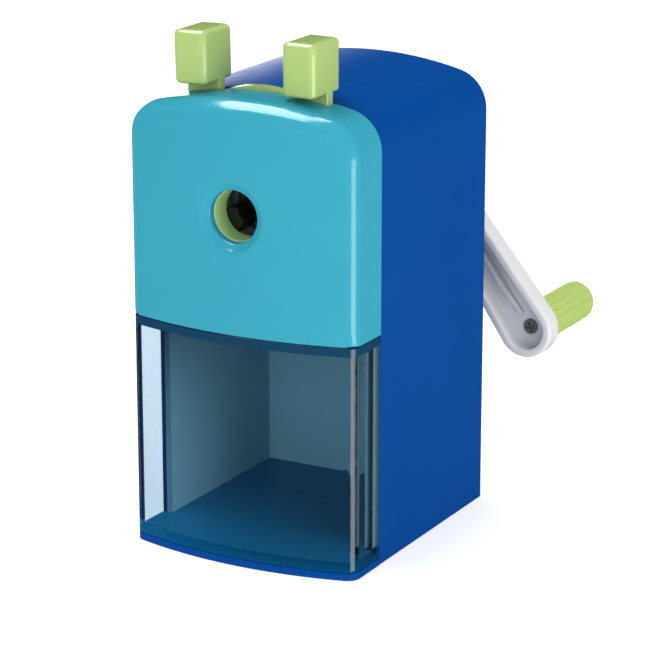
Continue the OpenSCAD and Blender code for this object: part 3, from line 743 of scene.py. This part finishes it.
def drawer():
    """The see-through drawer: a bowed front part and a narrower box behind it. Its rim, its floor and its
    rear walls have finishes of their own; the rim's is painted shade, an opaque dark navy band."""
    rear_half = 28.6
    step_y, rear_walls_y = -0.4, 1.0
    back = DRAWER_HIGH.y
    box_points = 7
    counts = dict(sides=8, corners=9, arcs=40, bottom=2)

    def outline(inset):
        bow = arched(BOW_HALF, BOW_DEPTH, BOW_R, BOW_CORNER_R, inset, -step_y, inset, **counts)[:-1]
        points = [(x, -h) for x, h in bow]
        left, rear = inset - rear_half, back - inset
        half_way = lerp(step_y, rear, 0.5)
        points += [(left, step_y - inset), (left, half_way), (left, rear), (0.0, rear)]
        points += [(-left, rear), (-left, half_way), (-left, step_y - inset)]
        return points

    low, high, rear_high = DRAWER_LOW.z, DRAWER_HIGH.z, 56.0
    band = 2.2

    def skin(inset):
        """Rows from the top edge down; the band under it is the rim, painted dark as painted shade."""
        floor, points = low + inset, outline(inset)
        rows = []
        for share, drop in ((1.0, 0.0), (1.0, band), (0.6, 0.0), (0.3, 0.0), (0.0, 0.0)):
            row = []
            for i, (x, y) in enumerate(points):
                top = high if i < len(points) - box_points else rear_high
                row.append((x, y, lerp(floor, top, share) - drop))
            rows.append(row)
        return rows

    box_piece = double_skin("drawer_box", skin(0.0), skin(WALL), capped=True)
    soften(box_piece, 0.3, segments=3)
    apply_modifiers(box_piece)
    dress(box_piece, "drawer", "drawer_clear", "shavings_drawer")
    for finish in ("drawer_rim", "drawer_floor", "drawer_back"):
        box_piece.data.materials.append(FINISH[finish])
    clear, rim, floor, rear = range(4)
    for polygon in box_piece.data.polygons:
        y, z = polygon.center.y / MM, polygon.center.z / MM
        finish = clear
        # Painted shade: the band under the bowed front's top edge gets the dark navy finish in place of
        # clear plastic.
        if z > high - band and y < step_y:
            finish = rim
        elif z < low + WALL + 0.1 and abs(polygon.normal.z) > 0.5:
            finish = floor
        elif y > rear_walls_y:
            finish = rear
        polygon.material_index = finish
    box_piece.visible_shadow = False


# ---- levers ----

RIM_GAP = 0.3


def arc_points(radius, start, end, n):
    """Points about the pencil's axis, with angles in degrees clockwise from up."""
    return [
        (radius * math.sin(math.radians(a)), AXIS_Z + radius * math.cos(math.radians(a)))
        for a in steps(start, end, n)
    ]


def slot_loop(angle, lean):
    """The outline of the slot that a jaw's pin runs in, with two round ends. Its
    ends lie at lead and length from its place on a circle about the axis."""
    at, length, radius, lead = 12.0, 3.8, 1.25, -0.4
    a = math.radians(angle)
    b = math.radians(angle + lean)
    cx, cz = at * math.cos(a), AXIS_Z + at * math.sin(a)
    points = []
    for end, turn in ((length, -90), (lead, 90)):
        for t in steps(turn, turn + 180, 9):
            c = b + math.radians(t)
            x = cx + end * math.cos(b) + radius * math.cos(c)
            z = cz + end * math.sin(b) + radius * math.sin(c)
            points.append((x, z))
    return points


def turned_about_axis(obj, side, turn):
    """The piece for its side of the pencil's axis, leaning by turn degrees."""
    c, s = math.cos(math.radians(turn)), math.sin(math.radians(turn))
    for vertex in obj.data.vertices:
        x, z = vertex.co.x * side, vertex.co.z - AXIS_Z * MM
        vertex.co.x = x * c + z * s
        vertex.co.z = AXIS_Z * MM - x * s + z * c
    return turn_outwards(obj)


def lever(side, node, body):
    """A lever: the thumb tab on its stem, the arched rim, the neck and the slotted
    ring. side is 1 for the right lever and -1 for the left one."""
    ring_r, bore_r, rim_out, rim_in = 17.3, 8.5, 28.8, 26.9
    tab_x = 9.1 + (LEFT_SHIFT if side < 0 else 0.0)
    tab_w, tab_h = 9.0, 13.2
    tab_foot = 28.2 + (LEFT_LIFT if side < 0 else 0.0)
    tab_front, tab_back = -9.6, 3.8
    stem_front, stem_back = -3.1, -0.3
    turn = -LEVER_LEAN if side < 0 else 0.0
    middle, gap = (stem_front + stem_back) / 2, 0.1
    y0, y1 = (middle + gap, stem_back) if side > 0 else (stem_front, middle - gap)
    # Angles from the top: the rim's two ends, and the two sides of the neck.
    far = 21.0 if side > 0 else 17.0
    near = 39.5 if side > 0 else 42.5
    neck = (11.0, 39.0) if side > 0 else (14.0, 42.0)

    outline = arc_points(ring_r, neck[1], 360 + neck[0], 72)
    outline += arc_points(rim_in, neck[0], -far, 20)
    outline += arc_points(rim_out, -far, near, 36)
    outline += arc_points(rim_in, near, neck[1] + 0.02, 2)
    outline = [(side * x, z) for x, z in outline]
    bore = arc_points(bore_r, 0, 352.5, 48)
    slot_lean = -47.85 * side
    loops = [outline, bore] + [slot_loop(a, slot_lean) for a in (90, 210, 330)]
    ring = plate("lever_plate", loops, y0, y1)
    soften(ring, 0.2)
    apply_modifiers(ring)

    top = AXIS_Z + tab_foot
    # The block is made taller and pressed flat, which gives it tighter top and foot edges.
    squeeze = 1.5
    tab_low, tab_high = (tab_x, tab_front, 0.0), (tab_x + tab_w, tab_back, tab_h * squeeze)
    tab = rounded_block("tab", tab_low, tab_high, 1.6, crown=0.12)
    for vertex in tab.data.vertices:
        vertex.co.z = top * MM + vertex.co.z / squeeze
    stem_low, stem_high = (tab_x, stem_front, AXIS_Z + 23), (tab_x + tab_w, stem_back, top + 2)
    stem = rounded_block("stem", stem_low, stem_high, 0.35, cells=3, arc=3)
    stem = turned_about_axis(stem, side, turn)
    cut_r, cut_y = rim_out + RIM_GAP, 20.0
    keep = [(0.0, -cut_y), (cut_r, -cut_y), (cut_r, cut_y), (0.0, cut_y)]
    combine(stem, lathe("keep", keep, 0.0, AXIS_Z, 96), "DIFFERENCE")
    bridge = bridge_block(side, turn, y0, y1, tab_x + tab_w / 2, (rim_in, rim_out))
    combine(ring, bridge, "UNION")
    combine(ring, stem, "UNION")
    combine(ring, turned_about_axis(tab, side, turn), "UNION")
    lug_x = (-8.8, -7.6) if side < 0 else (6.4, 7.6)
    lug_low, lug_high = (lug_x[0], -8.6, AXIS_Z + 20.2), (lug_x[1], y0 + 0.6, AXIS_Z + 24)
    combine(ring, rounded_block("lug", lug_low, lug_high, 0.3, cells=2, arc=2), "UNION")
    ring.name = node + "_tab"
    mark_sharp(ring)
    dress(ring, body, "tab_green", node)


def bridge_block(side, turn, y0, y1, tab_middle, rim):
    """The short web that joins a lever's rim to its stem, as thin as the plate."""
    middle, half_turn = math.degrees(math.asin(tab_middle / (rim[1] + RIM_GAP))), 9
    start, end = middle - half_turn, middle + half_turn
    lean, thinner = -turn if side < 0 else 0.0, 0.02
    outer = [(side * x, z) for x, z in arc_points(rim[1] + 0.9, start + lean, end + lean, 12)]
    inner = [(side * x, z) for x, z in arc_points(rim[0] + 0.6, end + lean, start + lean, 12)]
    return plate("bridge", [outer + inner], y0 + thinner, y1 - thinner)


# ---- springs ----

def feed_springs():
    """The two springs on the guide rods, which the carriage squeezes."""
    wire_r, slack = 0.32, 0.02
    for name in ("feed_spring_left", "feed_spring_right"):
        low, high = box(name)
        x, z = (low.x + high.x) / 2, (low.z + high.z) / 2
        coil_r = (high.z - low.z) / 2 - wire_r

        def place(across, up, along):
            return (x + across, low.y + along, z + up)

        spring = coil(name + "_wire", place, high.y - low.y, 14, coil_r - slack, wire_r)
        dress(spring, "housing", "steel", name)
        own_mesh(spring)


def lever_spring():
    """The small spring between the two levers' lugs."""
    wire_r, slack = 0.25, 0.02
    low, high = box("lever_spring")
    y, z = (low.y + high.y) / 2, (low.z + high.z) / 2
    coil_r = (high.z - low.z) / 2 - wire_r

    def place(across, up, along):
        return (low.x + along, y + across, z + up)

    spring = coil("lever_spring_wire", place, high.x - low.x, 7, coil_r - slack, wire_r, dead=0.8)
    dress(spring, "carriage", "steel", "lever_spring")
    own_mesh(spring)


# ---- crank ----

def crank_point(u, v, y):
    """A point along and across the crank, in the frame."""
    c, s = math.cos(CRANK_ANGLE), math.sin(CRANK_ANGLE)
    return (u * c + v * s, y, AXIS_Z - u * s + v * c)


def arm_outline(inset):
    """The arm's outline as (along, across): a round hub, straight sides and a
    round end, moved in by inset."""
    hub, root, end = CRANK_HUB_R - inset, CRANK_ROOT_R - inset, CRANK_END_R - inset
    lean = math.acos((CRANK_ROOT_R - CRANK_END_R) / CRANK_LEN)
    meet = lean - math.acos(root / hub)
    points = [(hub * math.cos(a), hub * math.sin(a)) for a in steps(meet, 2 * math.pi - meet, 49)]
    start = points[-1]
    far = (CRANK_LEN + end * math.cos(lean), -end * math.sin(lean))
    side = [(lerp(start[0], far[0], t), lerp(start[1], far[1], t)) for t in steps(0, 1, 12)[1:-1]]
    tip = [
        (CRANK_LEN + end * math.cos(a), end * math.sin(a)) for a in steps(-lean, lean, 31)
    ]
    return points + side + tip + [(u, -v) for u, v in reversed(side)]


def arm_profile(front, back, floor):
    """The channel's section as (inset, y): from its back round the outer edge, over
    the lip and down into the pocket."""
    back_r, lip_r, lip_middle, foot_r = 1.3, 0.75, 1.1, 1.0
    pocket, pocket_w, pocket_h, wall = 1.6, 0.6, 0.55, 2.3
    profile = [(3.2, back), (back_r, back)]
    profile += [
        (back_r - back_r * math.sin(a), back - back_r + back_r * math.cos(a))
        for a in quarter(6)[1:]
    ]
    profile += [(0.0, lerp(front, back, 0.4)), (0.0, front + lip_r)]
    profile += [
        (lip_r - lip_r * math.cos(a), front + lip_r - lip_r * math.sin(a))
        for a in quarter(5)[1:]
    ]
    profile += [(lip_middle, front)]
    profile += [
        (pocket + pocket_w * math.sin(a), front + pocket_h - pocket_h * math.cos(a))
        for a in quarter(5)
    ]
    profile += [(wall - 0.05, lerp(front, floor, 0.6)), (wall, floor - foot_r)]
    profile += [
        (wall + foot_r - foot_r * math.cos(a), floor - foot_r + foot_r * math.sin(a))
        for a in quarter(5)[1:]
    ]
    return profile


def crank_arm():
    """The crank: a channel open towards the case, with ribs and the hub's boss."""
    front, back = 73.0, ARM_HIGH.y
    floor = back - 2.0
    spine = [(min(max(u, 0.0), CRANK_LEN), 0.0) for u, v in arm_outline(0.0)]
    rows = [[crank_point(u, v, back) for u, v in spine]]
    for inset, y in arm_profile(front, back, floor):
        rows.append([crank_point(u, v, y) for u, v in arm_outline(inset)])
    rows.append([crank_point(u, v, floor) for u, v in spine])
    arm = sheet_rows("crank_lever", rows)

    boss_front, boss_r, edge_r = ARM_LOW.y, 7.2, 0.4
    boss = [(0.0, floor + 1), (boss_r, floor + 1), (boss_r, boss_front + edge_r)]
    boss += [
        (boss_r - edge_r + edge_r * math.cos(a), boss_front + edge_r - edge_r * math.sin(a))
        for a in quarter(4)[1:]
    ]
    hub = lathe("boss", boss + [(0.0, boss_front)], 0.0, AXIS_Z, 72)
    combine(arm, hub, "UNION", folded=True)
    for start, end, across, height in RIBS:
        combine(arm, rib(start, end, across, floor, height), "UNION", folded=True)
    combine(arm, shaft_bore(boss_front), "DIFFERENCE", folded=True)
    seat, head_r, screw_r = floor + 0.8, 2.05, 1.16
    hole = [(0.0, BEFORE_ARM), (head_r, BEFORE_ARM), (head_r, seat), (screw_r, seat),
            (screw_r, BEHIND_ARM), (0.0, BEHIND_ARM)]
    combine(arm, lathe("hole", hole, KNOB_X, KNOB_Z, 48), "DIFFERENCE", folded=True)
    mark_sharp(arm)
    dress(arm, "crank", "crank_grey", "crank_arm")


def rib(start, end, across, floor, height):
    """A rib along the arm's pocket; it falls away towards its far end."""
    half, root = 0.6, 0.8
    low, high = (start, across - half, floor - height), (end, across + half, floor + root)
    block = rounded_block("rib", low, high, 0.3, cells=8, arc=3)
    for vertex in block.data.vertices:
        u, v, y = (c / MM for c in vertex.co)
        fall = smooth((u - lerp(start, end, 0.45)) / (0.55 * (end - start)))
        if y < floor:
            y = lerp(y, floor - 0.3 + (y - floor) * 0.05, 0.6 * fall)
        vertex.co = Vector(crank_point(u, v, y)) * MM
    return turn_outwards(block)


def shaft_bore(front):
    """The bore of the hub with its two flats, and the screw's hole behind it."""
    radius, flat, deep, screw_r = 4.05, 3.25, 76.2, 1.56
    turn = math.asin(flat / radius)
    ring = [(radius * math.cos(a), radius * math.sin(a)) for a in steps(-turn, turn, 15)]
    ring += [(-u, -v) for u, v in ring]
    rows = [[crank_point(u, v, y) for u, v in ring] for y in (front - 1, deep)]
    bore = sheet_rows("bore", rows, caps=True)
    hole = [(0.0, BEFORE_ARM), (screw_r, BEFORE_ARM), (screw_r, BEHIND_ARM), (0.0, BEHIND_ARM)]
    return combine(bore, lathe("hole", hole, 0.0, AXIS_Z, 32), "UNION")


def crank_knob():
    """The knob: fine flutes that run out before its round end, and its bore."""
    front, back = KNOB_LOW.y, KNOB_HIGH.y
    radius = (KNOB_HIGH.x - KNOB_LOW.x) / 2
    end_r, lip_r, flutes, depth = 2.6, 0.5, 18, 0.2
    bead_y, bead_r, bore_r = 97.9, 4.85, 3.05
    profile = [(0.0, bead_y + 2.8), (4.4, bead_y + 2.8), (bead_r, bead_y + 2.4), (bead_r, bead_y),
               (4.4, bead_y - 0.4), (bore_r, bead_y - 0.7), (bore_r, front + 8),
               (bore_r, front + 0.4), (3.4, front)]
    profile += [(4.2, front), (radius - lip_r, front)]
    profile += [
        (radius - lip_r + lip_r * math.sin(a), front + lip_r - lip_r * math.cos(a))
        for a in quarter(5)[1:]
    ]
    profile += [(radius, y) for y in steps(front + lip_r, back - end_r, 14)[1:]]
    profile += [
        (radius - end_r + end_r * math.cos(a), back - end_r + end_r * math.sin(a))
        for a in quarter(10)[1:]
    ]
    profile += [(1.4, back), (0.0, back)]

    def ripple(angle, r, y):
        """How far the flutes go in; the bore and the ends have none."""
        if r < radius - 1.2:
            return 0.0
        fade = smooth((y - front - 0.2) / 1.0) * smooth((back - 1.6 - y) / 3.0)
        groove = max(0.0, math.cos(flutes * angle)) ** 3
        return -depth * groove * fade

    knob = lathe("knob_grip", profile, KNOB_X, KNOB_Z, 216, ripple)
    dress(knob, "knob", "knob_green", "crank_knob")


# ---- stage, light and camera ----

AIM = Vector((0.0, 0.0, 0.07))


def facing(place):
    """The turn that points a light or card at the object."""
    return (AIM - Vector(place)).to_track_quat("-Z", "Y").to_euler()


def soft_light(name, place, size, power):
    """A soft box that shows in no reflection."""
    data = bpy.data.lights.new(name, "AREA")
    data.shape = "RECTANGLE"
    data.size, data.size_y = size
    data.energy = power
    light = add_object(name, data)
    light.location = place
    light.rotation_euler = facing(place)
    light.visible_camera = False
    light.visible_glossy = False
    light.visible_transmission = False


def glow_panel(name, place, size, radiance):
    """A bright card for the reflections alone: it lights nothing else."""
    material = bpy.data.materials.new(name)
    material.use_nodes = True
    nodes = material.node_tree.nodes
    nodes.remove(nodes["Principled BSDF"])
    emission = nodes.new("ShaderNodeEmission")
    emission.inputs["Strength"].default_value = radiance
    material.node_tree.links.new(emission.outputs["Emission"], nodes["Material Output"].inputs["Surface"])
    material.cycles.emission_sampling = "NONE"
    w, h = size[0] / 2, size[1] / 2
    mesh = bpy.data.meshes.new(name)
    mesh.from_pydata([(-w, -h, 0), (w, -h, 0), (w, h, 0), (-w, h, 0)], [], [(0, 1, 2, 3)])
    mesh.materials.append(material)
    panel = add_object(name, mesh)
    panel.location = place
    panel.rotation_euler = facing(place)
    panel.visible_camera = False
    panel.visible_diffuse = False
    panel.visible_transmission = False
    panel.visible_shadow = False


def mirrored(nodes, links):
    """1 on a path that has met a reflection, and 0 before."""
    path = nodes.new("ShaderNodeLightPath")
    once = nodes.new("ShaderNodeMath")
    once.operation = "MINIMUM"
    once.inputs[1].default_value = 1.0
    links.new(path.outputs["Glossy Depth"], once.inputs[0])
    return once.outputs["Value"]


def floor_material():
    """A white floor with a little glow, which reflections don't see."""
    material = plastic("floor_white", (0.90, 0.91, 0.92), 0.7, specular=0.1, vary=0.004)
    nodes, links = material.node_tree.nodes, material.node_tree.links
    shader = nodes["Principled BSDF"]
    shader.inputs["Emission Color"].default_value = (1, 1, 1, 1)
    shader.inputs["Emission Strength"].default_value = 0.42
    dark = nodes.new("ShaderNodeEmission")
    dark.inputs["Strength"].default_value = 0.05
    mix = nodes.new("ShaderNodeMixShader")
    links.new(mirrored(nodes, links), mix.inputs["Fac"])
    links.new(shader.outputs["BSDF"], mix.inputs[1])
    links.new(dark.outputs["Emission"], mix.inputs[2])
    links.new(mix.outputs["Shader"], nodes["Material Output"].inputs["Surface"])
    return material


def studio():
    """A pale floor, an even pale sky, weak fills and cards for the highlights."""
    half, floor_z = 6.0, -0.0001
    mesh = bpy.data.meshes.new("floor")
    corners = [(x * half, y * half, floor_z) for x, y in ((-1, -1), (1, -1), (1, 1), (-1, 1))]
    mesh.from_pydata(corners, [], [(0, 1, 2, 3)])
    floor = add_object("floor", mesh)
    mesh.materials.append(floor_material())
    floor.visible_glossy = False

    world = bpy.data.worlds.new("studio")
    bpy.context.scene.world = world
    world.use_nodes = True
    world.cycles.sampling_method = "NONE"
    nodes, links = world.node_tree.nodes, world.node_tree.links
    background = nodes["Background"]
    background.inputs["Color"].default_value = (1.0, 1.0, 1.0, 1)
    strength = nodes.new("ShaderNodeMapRange")
    strength.inputs["To Min"].default_value = 0.58
    strength.inputs["To Max"].default_value = 0.03
    links.new(mirrored(nodes, links), strength.inputs["Value"])
    links.new(strength.outputs["Result"], background.inputs["Strength"])

    soft_light("overhead", (-0.2, 0.0, 0.72), (0.5, 0.4), 2.8)
    soft_light("front_fill", (0.1, -0.9, 0.3), (0.5, 0.5), 1.6)
    soft_light("right_fill", (0.8, -0.2, 0.4), (0.5, 0.5), 3.2)
    glow_panel("top_card", (-0.2, 0.0, 0.72), (0.6, 0.4), 10.0)
    glow_panel("right_card", (0.69, -0.24, -0.144), (0.5, 0.3), 4.5)
    glow_panel("left_card", (-0.67, -0.014, -0.2), (0.05, 0.4), 2.0)
    glow_panel("back_card", (-0.45, 0.66, -0.02), (0.4, 0.35), 3.0)


def camera():
    """The view from the front right, a little above."""
    data = bpy.data.cameras.new("camera")
    data.lens = 154.4
    data.sensor_width = 36.0
    data.clip_start, data.clip_end = 0.01, 50
    obj = add_object("camera", data)
    place, target = Vector((0.33003, -0.56645, 0.25083)), Vector((0.00558, 0.020, 0.05108))
    obj.location = place
    obj.rotation_mode = "QUATERNION"
    obj.rotation_quaternion = (target - place).to_track_quat("-Z", "Y")
    bpy.context.scene.camera = obj


carry_over()
body_shell()
front_cover()
drawer()
lever(-1, "lever_left", "left_lever")
lever(1, "lever_right", "right_lever")
feed_springs()
lever_spring()
crank_arm()
crank_knob()
studio()
camera()
bpy.context.scene.view_settings.view_transform = "Standard"
